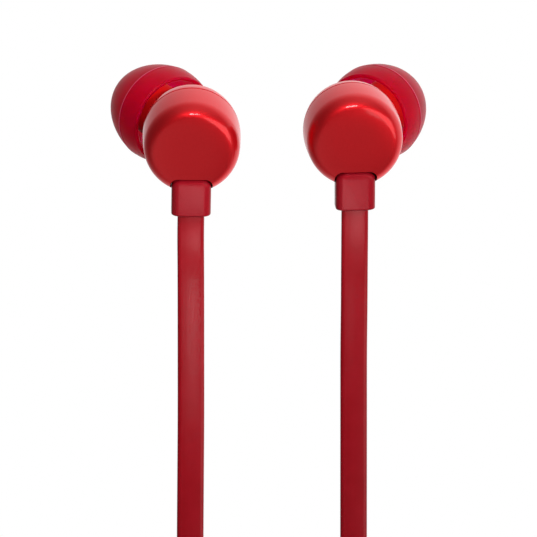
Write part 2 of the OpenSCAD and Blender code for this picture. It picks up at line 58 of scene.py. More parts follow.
# Housing, as (radius, height) with heights from the cap's disc, below zero, to the ear side
HOUSING_R = 6.2
DISC_TOP = -6.12
DISC_R = 4.3
CROWN_POWER = 4.2
CROWN_STEPS = 28
FLANK_W = 1.77
FLANK_L = 2.62
FLANK_END = -3.3
FLANK_SWEEP = (-80, -7)
FLANK_STEPS = 44
WALL_DRAFT = 0.011
WALL_LEVELS = (-3.2, -2.8, -2.4, -2.0, -1.6, -1.2, -0.8, -0.4, 0.0, 0.3)
JOINT = 0.75
JOINT_BEVEL = 0.2
CAP_INSIDE = [(5.3, JOINT), (5.3, -3.4), (4.2, -4.9), (0, -4.9)]
SHELL_INSIDE = [(0, 3.7), (2.9, 3.7), (3.9, 2.35), (4.6, 2.35), (4.6, -1.2), (5.25, -1.2), (5.25, JOINT)]
BARREL_DROP = 2.7
BARREL_L = 5.6
BARREL_END = 2.7
BARREL_STEPS = 7
SHOULDER = 3.0
SHOULDER_W = 2.33
SHOULDER_SWEEP = (6, 90)
SHOULDER_STEPS = 14
REAR_END = 4.7
REAR_END_R = 3.4
LACQUER_END = 2.8
LACQUER_FROM_R = 5.3
GROOVE_FROM_R = 5.2

# Nozzle, on its own axis
NOZZLE_ROOT = 1.46
NOZZLE_ANGLE = 33
NOZZLE_RISE = 2
NOZZLE_R = 2.5
NOZZLE_END = 12.0
BARB_R = 2.75
BARB = (9.6, 10.2, 11.4)
NECK_R = 3.5
NECK_START = 2.4
NECK_END = 5.3
BORE_R = 1.9
MESH_SEAT_R = 2.15
MESH_SEAT = 11.4

# Ear tip, on the nozzle's axis
TIP_R = 6.25
TIP_RIM = 4.1
TIP_RIM_R = 5.8
TIP_WIDEST = 6.9
TIP_DOME_L = 8.25
TIP_DOME_POWER = 1.64
TIP_SHOULDER = 13.5
HOLLOW_END = 11.9
TIP_WALL = 0.6
TIP_BORE_R = 2.8
TIP_BORE_END = 12.3
TIP_MOUTH_R = 2.0
TIP_MOUTH = [(3.2, 13.72), (2.9, 13.9), (2.6, 14.03), (2.35, 14.08), (2.15, 14.04), (2.03, 13.93),
             (TIP_MOUTH_R, 13.8)]
CORE_END = 5.4
CORE_EDGE = 0.1
INSIDE_DEPTH = 0.45
SKIRT_INSIDE_END = 5.25
SEAM = 7.34
SEAM_HALF = 0.06
SEAM_RISE = 0.035
SKIRT_STEPS = 8
DOME_STEPS = 30
HOLLOW_STEPS = 24

# Collar and its opening in the cap
COLLAR_W = 5.0
COLLAR_FRONT = -5.76
COLLAR_BACK = -2.31
COLLAR_TOP = -3.8
COLLAR_BOTTOM = -8.9
COLLAR_EDGE_R = 1.0
COLLAR_TOP_ROUND = (1.0, 0.4)
COLLAR_BOTTOM_ROUND = (0.35, 0.8)
NOTCH_GAP = 0.18
REBATE = -4.4

# Cable and remote
CABLE_W = 3.4
CABLE_T = 1.2
CABLE_EDGE = 0.48
BRANCH_X = 10.4
CABLE_Y = 2.6
REMOTE = Vector((BRANCH_X, CABLE_Y, -72.5))
REMOTE_W = 7.4
REMOTE_T = 5.0
REMOTE_L = 27.0
REMOTE_CORNER_R = 2.2
REMOTE_EDGE_R = 1.35
REMOTE_GROOVE = 0.09
RELIEF_SIZE = (5.0, 2.8, 4.0)
RELIEF_WAIST = (0.9, 0.84, 1)
RELIEF_TAPER = (0.88, 0.74, 1)
RELIEF_GROOVES = (0.4, 0.68)
GROOVE_HALF = 0.04
BUTTON_W = 4.4
BUTTON_L = 9.0
BUTTON_GAP = 0.15
BUTTON_BACK = -1.3
BUTTON_RISE = 0.5
BUTTON_EDGE_R = 0.4
SOUND_HOLE_R = 0.45
SOUND_HOLE_Z = -8.5

# Hank, Y-split and tie
HANK = Vector((0, CABLE_Y, -136))
HANK_HALF = 27.0
HANK_TOP = 46.0
ENTRY_L = 40.0
FOLD_R = 12.4
TURN_STEP = 1.8
WAIST_DRAW = 5.0
BELL_HALF = 19.0
LANE = BRANCH_X / 2.5
IN_LANE = -LANE / 2
OUT_LANE = LANE / 2
SPLIT_R = 15.2
SPLIT_BOTTOM = 4.0
SPLIT_L = 13.0
SPLIT_W = 9.2
SPLIT_T = 3.6
SPLIT_NECK_W = 5.4
SPLIT_SPREAD = 1.9
SPLIT_SHARE = 0.46
SPLIT_TAPER = (0.5, 0.85)
TAIL_R = 17.0
TAIL_END = 3.0
TIE_X = 12.6
TIE_Y = 9.4
TIE_T = 1.0
TIE_H = 6.0
TIE_CORNER_R = 1.5

# Plug, with heights from the handle's lower end
PLUG = HANK + Vector((OUT_LANE, -TAIL_R, -20))
PLUG_RELIEF_SIZE = (4.6, 2.6, 7.0)
HANDLE_R = 3.1
HANDLE_L = 16.0
HANDLE_EDGE = 0.5
GRIP_NECK_W = 1.0
GRIP_NECK_L = 2.0
PIN_BORE_R = 1.52
PIN_BORE_L = 4.02
GRIP_GROOVES = (4.5, 5.7, 6.9)
GRIP_DEPTH = 0.18
JACK_R = 1.75
RING_HOLE_R = 0.6
JACK_BEVEL = 0.05
SLEEVE_BANDS = [(-4, 0), (0, 0.2)]
RING_BANDS = [(-6.6, -4.6), (-9.2, -7.2)]
INSULATOR_BANDS = [(-4.6, -4), (-7.2, -6.6), (-9.8, -9.2)]
POINT_TOP = -9.8
POINT_NECK = [(JACK_R, -10.5), (1.15, -11.6), (1.2, -11.75), (1.6, -12.4)]
POINT_END = -14

# Steps round lathed pieces and along bevels, and angles up to which an edge is shaded smooth
CAP_STEPS = 160
ROUND_STEPS = 128
THIN_STEPS = 96
JACK_STEPS = 64
EDGE_STEPS = 8
CRISP = 32
EASY = 40
SOFT = 50

# Camera at the photograph's angle: level, straight on, 450 mm away, 7.9 pixels to a millimetre

CAMERA_PLACE = Vector((-0.43, -450, -17.1))
PIXELS = 537
FOCAL_PIXELS = 3555
SENSOR = 36.0

camera_data = bpy.data.cameras.new("camera")
camera_data.sensor_width = SENSOR
camera_data.lens = SENSOR * FOCAL_PIXELS / PIXELS
camera_data.clip_start = 0.01
camera_data.clip_end = 100
camera = bpy.data.objects.new("camera", camera_data)
camera.location = CAMERA_PLACE * MM
camera.rotation_euler = (math.radians(90), 0, 0)
bpy.context.scene.collection.objects.link(camera)
bpy.context.scene.camera = camera

# Materials


def linear(code):
    """Linear RGBA of an sRGB hex colour."""
    shares = [int(code[i:i + 2], 16) / 255 for i in (1, 3, 5)]
    return tuple(s / 12.92 if s <= 0.04045 else ((s + 0.055) / 1.055) ** 2.4 for s in shares) + (1.0,)


def add(tree, kind, settings=None, links=None):
    """Adds a node, sets its properties and input values, and links earlier outputs to its inputs."""
    made = tree.nodes.new(kind)
    for name, value in (settings or {}).items():
        if isinstance(name, str) and hasattr(made, name):
            setattr(made, name, value)
        else:
            made.inputs[name].default_value = value
    for name, output in (links or {}).items():
        tree.links.new(output, made.inputs[name])
    return made


def new_material(name, settings):
    """A material with a Principled shader at these settings, its tree, and the shader."""
    material = bpy.data.materials.new(name)
    material.use_nodes = True
    tree = material.node_tree
    shader = tree.nodes["Principled BSDF"]
    for socket, value in settings.items():
        shader.inputs[socket].default_value = value
    return material, tree, shader


def per_mm(size):
    """Texture scale for a feature of this many millimetres, on coordinates in metres."""
    return 1 / (size * MM)


def mottle(name, low, high, size, settings, bump_size, bump):
    """A material whose colour drifts between two tones, with a fine surface relief in millimetres."""
    material, tree, shader = new_material(name, settings)
    place = add(tree, "ShaderNodeTexCoord")
    cloud = add(tree, "ShaderNodeTexNoise", {"Scale": per_mm(size), "Detail": 4.0, "Roughness": 0.55},
                {"Vector": place.outputs["Object"]})
    tone = add(tree, "ShaderNodeMix", {"data_type": "RGBA", 6: linear(low), 7: linear(high)},
               {0: cloud.outputs["Fac"]})
    tree.links.new(tone.outputs[2], shader.inputs["Base Color"])
    grain = add(tree, "ShaderNodeTexNoise", {"Scale": per_mm(bump_size)}, {"Vector": place.outputs["Object"]})
    relief = add(tree, "ShaderNodeBump", {"Distance": bump * MM}, {"Height": grain.outputs["Fac"]})
    tree.links.new(relief.outputs["Normal"], shader.inputs["Normal"])
    return material


# Metallic lacquer on moulded ABS: deep tinted glow from the flakes, white reflections from the clear coat
lacquer = mottle(
    "metallic_red_lacquer", "#D4161E", "#DE1E26", 0.25,
    {"Metallic": 0.85, "Roughness": 0.45, "Specular IOR Level": 0.1, "Specular Tint": linear("#FFAAB3"),
     "Coat Weight": 0.65, "Coat Roughness": 0.12, "Coat IOR": 1.45},
    2.0, 0.0006)

# Moulded ABS without lacquer: saturated, with a soft highlight
abs_red = mottle(
    "moulded_red_abs", "#C4060A", "#CC080C", 2.0,
    {"Roughness": 0.45, "IOR": 1.5, "Specular IOR Level": 0.15},
    0.8, 0.001)

# Bare ABS in the parting groove, dull; the collar opening's walls painted near-black as shade
DULL = {"Roughness": 1.0, "Specular IOR Level": 0.0}
groove_finish = mottle("bare_red_abs", "#A80C16", "#B2101A", 2.0, DULL, 0.8, 0.001)
opening_painted_shade = mottle("painted_shade_red_abs", "#4A0408", "#52060A", 2.0, DULL, 0.8, 0.001)

# Silicone rubber from a polished mould: satin, light soaks in a little and the thin rim glows,
# duller on the inside and the core, whose brighter colours, magenta inside, are painted glow of light through
# the skirt; paler on the mould line
RUBBER = {"IOR": 1.41, "Specular IOR Level": 0.1}
GLOW = {"Subsurface Weight": 1.0, "Subsurface Scale": 8 * MM}
silicone = mottle(
    "red_silicone", "#8A001B", "#940221", 3.0,
    {**RUBBER, **GLOW, "Roughness": 0.38, "Subsurface Radius": (1.0, 0.1, 0.2)},
    0.35, 0.002)
silicone_inside_painted_glow = mottle(
    "red_silicone_inside", "#970A4F", "#9F0E55", 3.0,
    {**RUBBER, **GLOW, "Roughness": 0.55, "Subsurface Radius": (1.0, 0.1, 0.3)},
    0.35, 0.002)
silicone_core_painted_glow = mottle(
    "red_silicone_core", "#C00A0C", "#C80E10", 3.0,
    {**RUBBER, "Roughness": 0.55},
    0.35, 0.002)
mould_line = mottle(
    "red_silicone_mould_line", "#C8486A", "#D05074", 3.0,
    {"Roughness": 0.5, "IOR": 1.41, "Specular IOR Level": 0.2},
    0.35, 0.002)

# Thermoplastic elastomer from a spark-eroded mould: low gloss, with a fine grain
elastomer = mottle(
    "moulded_red_elastomer", "#880715", "#920D1D", 0.35,
    {"Roughness": 0.3, "IOR": 1.48, "Specular IOR Level": 0.12},
    0.3, 0.02)


# Patterns of the cable and the mesh, in millimetres
STREAK_W = 0.25
STREAK_L = 25.0
CLOUD = 2.857
GRAIN = 0.2
WIRE_SPACING = 0.3


def extruded_elastomer():
    """Elastomer drawn through a die: low gloss, faint streaks along the cable and a slightly cloudy tone."""
    material, tree, shader = new_material(
        "extruded_red_elastomer", {"Roughness": 0.3, "IOR": 1.48, "Specular IOR Level": 0.18})
    place = add(tree, "ShaderNodeUVMap", {"uv_map": "cable"})
    stretched = add(tree, "ShaderNodeMapping", {"Scale": (1 / STREAK_W, 1 / STREAK_L, 1)},
                    {"Vector": place.outputs["UV"]})
    streaks = add(tree, "ShaderNodeTexNoise", {"Scale": 1.0, "Detail": 3.0},
                  {"Vector": stretched.outputs["Vector"]})
    clouds = add(tree, "ShaderNodeTexNoise", {"Scale": 1 / CLOUD, "Detail": 4.0},
                 {"Vector": place.outputs["UV"]})
    mixed = add(tree, "ShaderNodeMath", {"operation": "MULTIPLY_ADD", 1: 0.5},
                {0: streaks.outputs["Fac"], 2: clouds.outputs["Fac"]})
    tone = add(tree, "ShaderNodeMapRange", {"From Min": 0.45, "From Max": 1.05},
               {"Value": mixed.outputs["Value"]})
    colour = add(tree, "ShaderNodeMix", {"data_type": "RGBA", 6: linear("#8A0612"), 7: linear("#950C1A")},
                 {0: tone.outputs["Result"]})
    tree.links.new(colour.outputs[2], shader.inputs["Base Color"])
    grain = add(tree, "ShaderNodeTexNoise", {"Scale": 1 / GRAIN}, {"Vector": place.outputs["UV"]})
    height = add(tree, "ShaderNodeMath", {"operation": "ADD"},
                 {0: streaks.outputs["Fac"], 1: grain.outputs["Fac"]})
    relief = add(tree, "ShaderNodeBump", {"Distance": 0.006 * MM}, {"Height": height.outputs["Value"]})
    tree.links.new(relief.outputs["Normal"], shader.inputs["Normal"])
    return material


def woven_mesh(name, axis):
    """Woven steel wire across an axis: bright wires, gaps painted dark as the shade in the holes, drawn
    coarser than real so that they show.
    """
    material, tree, shader = new_material(name, {"Metallic": 1.0, "Roughness": 0.4})
    place = add(tree, "ShaderNodeTexCoord")
    across = add(tree, "ShaderNodeMapping", {"vector_type": "TEXTURE", "Rotation": axis.to_euler()},
                 {"Vector": place.outputs["Object"]})
    bands = {"Scale": math.pi / 10 * per_mm(WIRE_SPACING)}
    warp, weft = [add(tree, "ShaderNodeTexWave", {**bands, "bands_direction": way},
                      {"Vector": across.outputs["Vector"]}) for way in "XY"]
    wires = add(tree, "ShaderNodeMath", {"operation": "MAXIMUM"},
                {0: warp.outputs["Fac"], 1: weft.outputs["Fac"]})
    colour = add(tree, "ShaderNodeMix", {"data_type": "RGBA", 6: linear("#1A1A1C"), 7: linear("#86888C")},
                 {0: wires.outputs["Value"]})
    tree.links.new(colour.outputs[2], shader.inputs["Base Color"])
    relief = add(tree, "ShaderNodeBump", {"Distance": 0.05 * MM}, {"Height": wires.outputs["Value"]})
    tree.links.new(relief.outputs["Normal"], shader.inputs["Normal"])
    return material


cable_finish = extruded_elastomer()

# Satin moulded ABS of the remote: an even, soft shine
remote_finish = mottle(
    "satin_red_abs", "#890E1A", "#921420", 1.5,
    {"Roughness": 0.42, "IOR": 1.5, "Specular IOR Level": 0.35},
    0.2, 0.006)

# Black silicone strap: dull, with dust-fine grain
strap_finish = mottle(
    "black_silicone", "#1A1A1C", "#242427", 1.0, {"Roughness": 0.62, "IOR": 1.41}, 0.25, 0.01)

# Gold-plated brass, turned and polished: bright warm metal with faint cloudiness
gold_finish = mottle(
    "gold_plated_brass", "#C99A45", "#D6AC5C", 2.0, {"Metallic": 1.0, "Roughness": 0.2}, 0.3, 0.001)

# Black plastic of the jack's insulators and the driver's frame: plain and slightly dull
black_plastic = mottle("moulded_black_plastic", "#151517", "#1E1E20", 1.0, {"Roughness": 0.5}, 0.3, 0.004)

# Pieces sealed inside: bright drawn copper and plated metals, smooth pale film, dull paper, green solder mask
copper_finish = mottle(
    "drawn_copper", "#A8653A", "#BC7846", 0.5, {"Metallic": 1.0, "Roughness": 0.32}, 0.1, 0.003)
steel_finish = mottle(
    "plated_steel", "#9C9EA2", "#B0B2B6", 0.8, {"Metallic": 1.0, "Roughness": 0.34}, 0.2, 0.003)
magnet_finish = mottle(
    "nickel_plated_magnet", "#6C6E72", "#808286", 0.8, {"Metallic": 1.0, "Roughness": 0.4}, 0.2, 0.004)
film_finish = mottle("polyester_film", "#CFCABA", "#DAD6C8", 1.0, {"Roughness": 0.25}, 0.6, 0.003)
paper_finish = mottle("damping_paper", "#D8D2C0", "#E6E0D0", 0.5, {"Roughness": 0.85}, 0.15, 0.02)
board_finish = mottle("solder_masked_board", "#164A30", "#1E5A3A", 0.6, {"Roughness": 0.35}, 0.3, 0.006)

# Modelling helpers, on objects in millimetres


def deselect():
    bpy.ops.object.select_all(action="DESELECT")


def activate(obj):
    """Selects one object alone."""
    deselect()
    obj.select_set(True)
    bpy.context.view_layer.objects.active = obj


def edit(obj, mode="EDGE"):
    """Opens a piece for editing with everything selected."""
    activate(obj)
    bpy.ops.object.mode_set(mode="EDIT")
    bpy.ops.mesh.select_mode(type=mode)
    bpy.ops.mesh.select_all(action="SELECT")


def close():
    bpy.ops.object.mode_set(mode="OBJECT")


def pick(obj, kind, test):
    """Selects the edges or faces of the piece being edited whose vertices pass a test on their places."""
    shape = bmesh.from_edit_mesh(obj.data)
    bpy.ops.mesh.select_all(action="DESELECT")
    for item in getattr(shape, kind):
        item.select_set(test([v.co for v in item.verts]))
    shape.select_flush_mode()
    bmesh.update_edit_mesh(obj.data)


def spaced(start, end, steps):
    """Evenly spaced values, from start to end."""
    return [start + (end - start) * i / steps for i in range(steps + 1)]


def arc(centre, wide, tall, start, end, steps):
    """Points along an oval arc, by angle in degrees."""
    turns = [math.radians(a) for a in spaced(start, end, steps)]
    return [(centre[0] + wide * math.cos(t), centre[1] + tall * math.sin(t)) for t in turns]


def lathe(name, outline, steps):
    """Draws one vertex along an outline of (radius, height) points and spins it round Z."""
    deselect()
    bpy.ops.mesh.primitive_plane_add(size=1)
    obj = bpy.context.object
    obj.name = name
    edit(obj, "VERT")
    bpy.ops.mesh.merge(type="CENTER")
    bpy.ops.transform.translate(value=(outline[0][0], 0, outline[0][1]))
    for before, after in zip(outline, outline[1:]):
        step = (after[0] - before[0], 0, after[1] - before[1])
        bpy.ops.mesh.extrude_vertices_move(TRANSFORM_OT_translate={"value": step})
    bpy.ops.mesh.select_all(action="SELECT")
    bpy.ops.mesh.spin(steps=steps, angle=2 * math.pi, center=(0, 0, 0), axis=(0, 0, 1))
    bpy.ops.mesh.select_all(action="SELECT")
    bpy.ops.mesh.remove_doubles(threshold=0.0005)
    bpy.ops.mesh.normals_make_consistent(inside=False)
    close()
    return obj


def block(name, low, high):
    """A cube between two corners."""
    deselect()
    low, high = Vector(low), Vector(high)
    bpy.ops.mesh.primitive_cube_add(size=1, location=(low + high) / 2)
    obj = bpy.context.object
    obj.name = name
    obj.scale = high - low
    bpy.ops.object.transform_apply()
    return obj


def along(axis):
    """A test for edges that run along one axis."""
    return lambda ends: abs((ends[1] - ends[0]).normalized()[axis]) > 0.999


def round_edges(obj, test, radius, segments):
    """Bevels the edges that pass a test."""
    edit(obj)
    pick(obj, "edges", test)
    bpy.ops.mesh.bevel(offset=radius, segments=segments, affect="EDGES")
    close()


def apply_modifier(obj, modifier):
    activate(obj)
    bpy.ops.object.modifier_apply(modifier=modifier.name)


def soften(obj, radius, segments, angle):
    """Rounds the edges that are sharper than an angle."""
    bevel = obj.modifiers.new("soft_edges", "BEVEL")
    bevel.width = radius
    bevel.segments = segments
    bevel.limit_method = "ANGLE"
    bevel.angle_limit = math.radians(angle)
    apply_modifier(obj, bevel)


def cut(obj, cutter):
    """Takes one piece out of another."""
    opening = obj.modifiers.new("opening", "BOOLEAN")
    opening.object = cutter
    opening.operation = "DIFFERENCE"
    opening.solver = "EXACT"
    apply_modifier(obj, opening)
    bpy.data.objects.remove(cutter)


def cross_cuts(obj, levels):
    """Cuts the faces of the piece being edited at levels along Z."""
    for level in levels:
        bpy.ops.mesh.select_all(action="SELECT")
        bpy.ops.mesh.bisect(plane_co=(0, 0, level), plane_no=(0, 0, 1))


def paint(obj, finishes):
    """Gives a piece its finishes: the first all over, each other one on the faces that pass its test."""
    for finish, _ in finishes:
        obj.data.materials.append(finish)
    edit(obj, "FACE")
    for number, (_, test) in enumerate(finishes):
        if test:
            pick(obj, "faces", test)
            obj.active_material_index = number
            bpy.ops.object.material_slot_assign()
    close()


def finish_piece(obj, place, material, body, nodes, angle=CRISP):
    """Sets a piece in place in metres, gives it its finish unless it is painted, hangs it on its body and
    hides its CAD nodes.
    """
    activate(obj)
    obj.matrix_world = Matrix.Scale(MM, 4) @ place
    bpy.ops.object.transform_apply()
    bpy.ops.object.shade_smooth_by_angle(angle=math.radians(angle))
    if not obj.data.materials:
        obj.data.materials.append(material)
    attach(obj, body)
    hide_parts(*nodes)
    return obj


def dress(node, material):
    """Gives a CAD node its finish."""
    cad_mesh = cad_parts[node].data
    cad_mesh.materials.clear()
    cad_mesh.materials.append(material)


def shift(place):
    return Matrix.Translation(Vector(place))


def turned(angles):
    return Euler([math.radians(a) for a in angles], "XYZ").to_matrix().to_4x4()


# Route of the cable, in millimetres: given points above the hank, and the hank's loops by formula

LEFT_ROUTE = [
    (-10.2, -0.97, -8.55), (-10.3, 0.95, -13.05), (-10.3, 1.9, -17), (-10.3, 2.4, -22), (-10.3, 2.6, -28),
    (-10.3, 2.6, -36), (-10.35, 2.6, -44), (-10.4, 2.6, -52), (-10.4, 2.6, -60), (-10.4, 2.6, -68),
    (-10.4, 2.6, -76), (-10.4, 2.6, -83), (-10.4, 2.6, -90),
]
RIGHT_ROUTE = [
    (10.47, -1.59, -7.85), (10.48, 0, -12.5), (10.47, 1, -17), (10.45, 1.6, -22), (10.4, 1.95, -28),
    (10.4, 2.2, -36), (10.4, 2.4, -44), (10.4, 2.6, -50), (10.4, 2.6, -55), (10.4, 2.6, -63),
    (10.4, 2.6, -72), (10.4, 2.6, -81), (10.4, 2.6, -90),
]
ROUTE_STEPS = 5
ENTRY_STEPS = 20
RUN_STEPS = 28
FOLD_STEPS = 24
CROSSING_STEPS = 16
STEM_STEPS = 4
TAIL_STEPS = 10
SECTION_STEPS = 5


def smooth_route(points):
    """Points on a smooth curve through the given ones."""
    points = [Vector(p) for p in points]
    ends = [2 * points[0] - points[1]] + points + [2 * points[-1] - points[-2]]
    curve = []
    for a, b, c, d in zip(ends, ends[1:], ends[2:], ends[3:]):
        for u in spaced(0, 1, ROUTE_STEPS)[:-1]:
            curve.append(0.5 * (2 * b + (c - a) * u + (2 * a - 5 * b + 4 * c - d) * u ** 2
                                + (3 * b - a - 3 * c + d) * u ** 3))
    return curve


def ease(u):
    """A share from 0 to 1 that starts and stops gently."""
    return (1 - math.cos(math.pi * u)) / 2


def drawn_in(radius, z):
    """Distance of a run from the hank's middle plane, drawn in at the waist."""
    bell = (1 + math.cos(math.pi * z / BELL_HALF)) / 2 if abs(z) < BELL_HALF else 0
    return radius - WAIST_DRAW * bell


def run(x0, x1, radius, way, start=0.0):
    """A run down the front (way -1) or up the back (way 1), easing from one lane to another."""
    points = []
    for u in spaced(start, 1, RUN_STEPS)[1:]:
        z = way * HANK_HALF * (2 * u - 1)
        points.append(Vector((x0 + (x1 - x0) * ease(u), way * drawn_in(radius, z), z)))
    return points


def fold(x0, r0, r1, way, x1=None):
    """The fold at the hank's lower end, front to back (way -1), or upper end, back to front (way 1)."""
    points = []
    for u in spaced(0, 1, FOLD_STEPS)[1:]:
        radius = r0 + (r1 - r0) * u
        x = x0 if x1 is None else x0 + (x1 - x0) * max(0, 2 * u - 1) ** 2
        turn = math.pi * u
        points.append(Vector((x, way * radius * math.cos(turn), way * (HANK_HALF + radius * math.sin(turn)))))
    return points


def branch_hank(side):
    """A branch's two loops, from between the folds to the Y-split at the back."""
    outer = side * BRANCH_X
    inner = side * (BRANCH_X - LANE)
    end = IN_LANE + side * SPLIT_SPREAD
    halfway = inner + (end - inner) * SPLIT_SHARE
    entry = [Vector((outer, 0, HANK_TOP)), Vector((outer, 0, (HANK_TOP + ENTRY_L) / 2))]
    for z in spaced(ENTRY_L, 0, ENTRY_STEPS):
        entry.append(Vector((outer, -(FOLD_R - WAIST_DRAW) * ease(1 - z / ENTRY_L), z)))
    climb = HANK_HALF + SPLIT_BOTTOM - CABLE_W
    crossing = []
    for u in spaced(0, 1, CROSSING_STEPS)[1:]:
        crossing.append(Vector((end + (halfway - end) * (1 - u) ** 2, SPLIT_R, -HANK_HALF + climb * u)))
    loops = (entry + run(outer, outer, FOLD_R, -1, 0.5) + fold(outer, FOLD_R, FOLD_R, -1)
             + run(outer, inner, FOLD_R, 1) + fold(inner, FOLD_R, FOLD_R, 1)
             + run(inner, inner, FOLD_R, -1) + fold(inner, FOLD_R, SPLIT_R, -1, halfway)
             + crossing + [Vector((end, SPLIT_R, SPLIT_BOTTOM))])
    return [HANK + p for p in loops]


def common_hank():
    """The common cable's loops, in through one lane and out through the next, and the tail to the plug."""
    def stack(turn):
        return FOLD_R - turn * TURN_STEP

    stem = spaced(SPLIT_BOTTOM + SPLIT_L, HANK_HALF, STEM_STEPS)
    tail = spaced(HANK_HALF, TAIL_END, TAIL_STEPS)[1:]
    loops = [Vector((IN_LANE, SPLIT_R, z)) for z in stem]
    loops += fold(IN_LANE, SPLIT_R, stack(0), 1)
    for turn in (0, 1):
        loops += run(IN_LANE, IN_LANE, stack(turn), -1)
        loops += fold(IN_LANE, stack(turn), stack(turn + 0.5), -1)
        loops += run(IN_LANE, IN_LANE, stack(turn + 0.5), 1)
        loops += fold(IN_LANE, stack(turn + 0.5), stack(turn + 1), 1)
    loops += run(IN_LANE, OUT_LANE, stack(2), -1)
    for turn in (2, 1):
        loops += fold(OUT_LANE, stack(turn), stack(turn - 0.5), -1)
        loops += run(OUT_LANE, OUT_LANE, stack(turn - 0.5), 1)
        if turn == 2:
            loops += fold(OUT_LANE, stack(1.5), stack(1), 1)
            loops += run(OUT_LANE, OUT_LANE, stack(1), -1)
    loops += fold(OUT_LANE, stack(0.5), TAIL_R, 1)
    loops += [Vector((OUT_LANE, -TAIL_R, z)) for z in tail]
    return [HANK + p for p in loops]


def flat_section():
    """The cable's section, a flat bar with round edges, as (across, in depth) points."""
    half_w = CABLE_W / 2 - CABLE_EDGE
    half_t = CABLE_T / 2 - CABLE_EDGE
    centres = ((half_w, half_t), (-half_w, half_t), (-half_w, -half_t), (half_w, -half_t))
    section = []
    for start, centre in zip((0, 90, 180, 270), centres):
        section += arc(centre, CABLE_EDGE, CABLE_EDGE, start, start + 90, SECTION_STEPS)
    return section


def flat_cable(name, path):
    """A tube of the flat section along a path, its width kept along X, with a UV map in millimetres."""
    section = flat_section()
    sides = len(section)
    vertices = []
    travelled = [0.0]
    for i, point in enumerate(path):
        heading = (path[min(i + 1, len(path) - 1)] - path[max(i - 1, 0)]).normalized()
        across = Vector((1, 0, 0)).cross(heading).normalized()
        vertices += [(point + Vector((w, 0, 0)) + across * t) * MM for w, t in section]
        if i:
            travelled.append(travelled[-1] + (point - path[i - 1]).length)
    faces = []
    for i in range(len(path) - 1):
        for k in range(sides):
            a, b = i * sides + k, i * sides + (k + 1) % sides
            faces.append((a, a + sides, b + sides, b))
    faces.append(tuple(range(sides)))
    faces.append(tuple(reversed(range(len(vertices) - sides, len(vertices)))))
    mesh = bpy.data.meshes.new(name)
    mesh.from_pydata(vertices, [], faces)
    round_steps = [0.0]
    for before, after in zip(section, section[1:] + section[:1]):
        round_steps.append(round_steps[-1] + math.dist(before, after))
    layer = mesh.uv_layers.new(name="cable")
    for number, face in enumerate(mesh.polygons):
        for loop in face.loop_indices:
            ring, k = divmod(mesh.loops[loop].vertex_index, sides)
            wrapped = k == 0 and number % sides == sides - 1
            layer.data[loop].uv = (round_steps[sides if wrapped else k], travelled[ring])
    mesh.polygons.foreach_set("use_smooth", [True] * len(mesh.polygons))
    mesh.materials.append(cable_finish)
    obj = bpy.data.objects.new(name, mesh)
    bpy.context.scene.collection.objects.link(obj)
    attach(obj, ROOT)
    return obj, travelled[-1] * MM


left_path = smooth_route(LEFT_ROUTE) + branch_hank(-1)
right_path = smooth_route(RIGHT_ROUTE) + branch_hank(1)
common_path = common_hank()
left_cord, left_length = flat_cable("left_branch_cable", left_path)
right_cord, right_length = flat_cable("right_branch_cable", right_path)
common_cord, common_length = flat_cable("common_cable", common_path)
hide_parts("left_cable", "left_hank")
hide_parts("right_cable", "right_hank")
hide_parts("common_hank")

# Earbuds


def cap_outline():
    """The cap's crowned disc, rolled edge and flank to the parting line, then its inner wall."""
    flank = arc((DISC_R, FLANK_END), FLANK_W, FLANK_L, *FLANK_SWEEP, FLANK_STEPS)
    edge_r, edge_level = flank[0]
    shares = spaced(0, 1, CROWN_STEPS)[:-1]
    disc = [(edge_r * s, DISC_TOP + (edge_level - DISC_TOP) * s ** CROWN_POWER) for s in shares]
    wall = [(HOUSING_R - WALL_DRAFT * level ** 2, level) for level in WALL_LEVELS]
    wall += [(HOUSING_R - HAIR, JOINT - JOINT_BEVEL), (HOUSING_R - JOINT_BEVEL, JOINT)]
    return disc + flank + wall + CAP_INSIDE


def rear_outline():
    """The inside of the ear-side shell, its lip, and its outside to the blunt end."""
    joint = [(HOUSING_R - JOINT_BEVEL, JOINT)]
    levels = spaced(JOINT + JOINT_BEVEL, BARREL_END, BARREL_STEPS)
    barrel = [(HOUSING_R - BARREL_DROP * (1 - math.sqrt(1 - (a / BARREL_L) ** 2)), a) for a in levels]
    shoulder = arc((REAR_END_R, SHOULDER), SHOULDER_W, REAR_END - SHOULDER, *SHOULDER_SWEEP, SHOULDER_STEPS)
    return SHELL_INSIDE + joint + barrel + shoulder + [(0, REAR_END)]


def nozzle_outline():
    """Neck, barbed nozzle, the mesh's seat and the sound bore."""
    neck = [(BORE_R, NECK_START), (NECK_R, NECK_START), (NECK_R, NECK_END - 0.2),
            (NECK_R - 0.06, NECK_END - 0.06), (NECK_R - 0.2, NECK_END)]
    barb = [(NOZZLE_R, NECK_END), (NOZZLE_R, BARB[0]), (BARB_R, BARB[1]), (NOZZLE_R, BARB[2])]
    mouth = [(NOZZLE_R, NOZZLE_END - 0.15), (NOZZLE_R - 0.1, NOZZLE_END), (MESH_SEAT_R, NOZZLE_END)]
    bore = [(MESH_SEAT_R, MESH_SEAT), (BORE_R, MESH_SEAT), (BORE_R, NECK_START)]
    return neck + barb + mouth + bore


def tip_skin(t):
    """Radius of the ear tip's outer skin at a place along the nozzle."""
    if t < TIP_WIDEST:
        return TIP_R - (TIP_R - TIP_RIM_R) * ((TIP_WIDEST - t) / (TIP_WIDEST - TIP_RIM)) ** 2
    return TIP_R * math.sqrt(1 - ((t - TIP_WIDEST) / TIP_DOME_L) ** TIP_DOME_POWER)


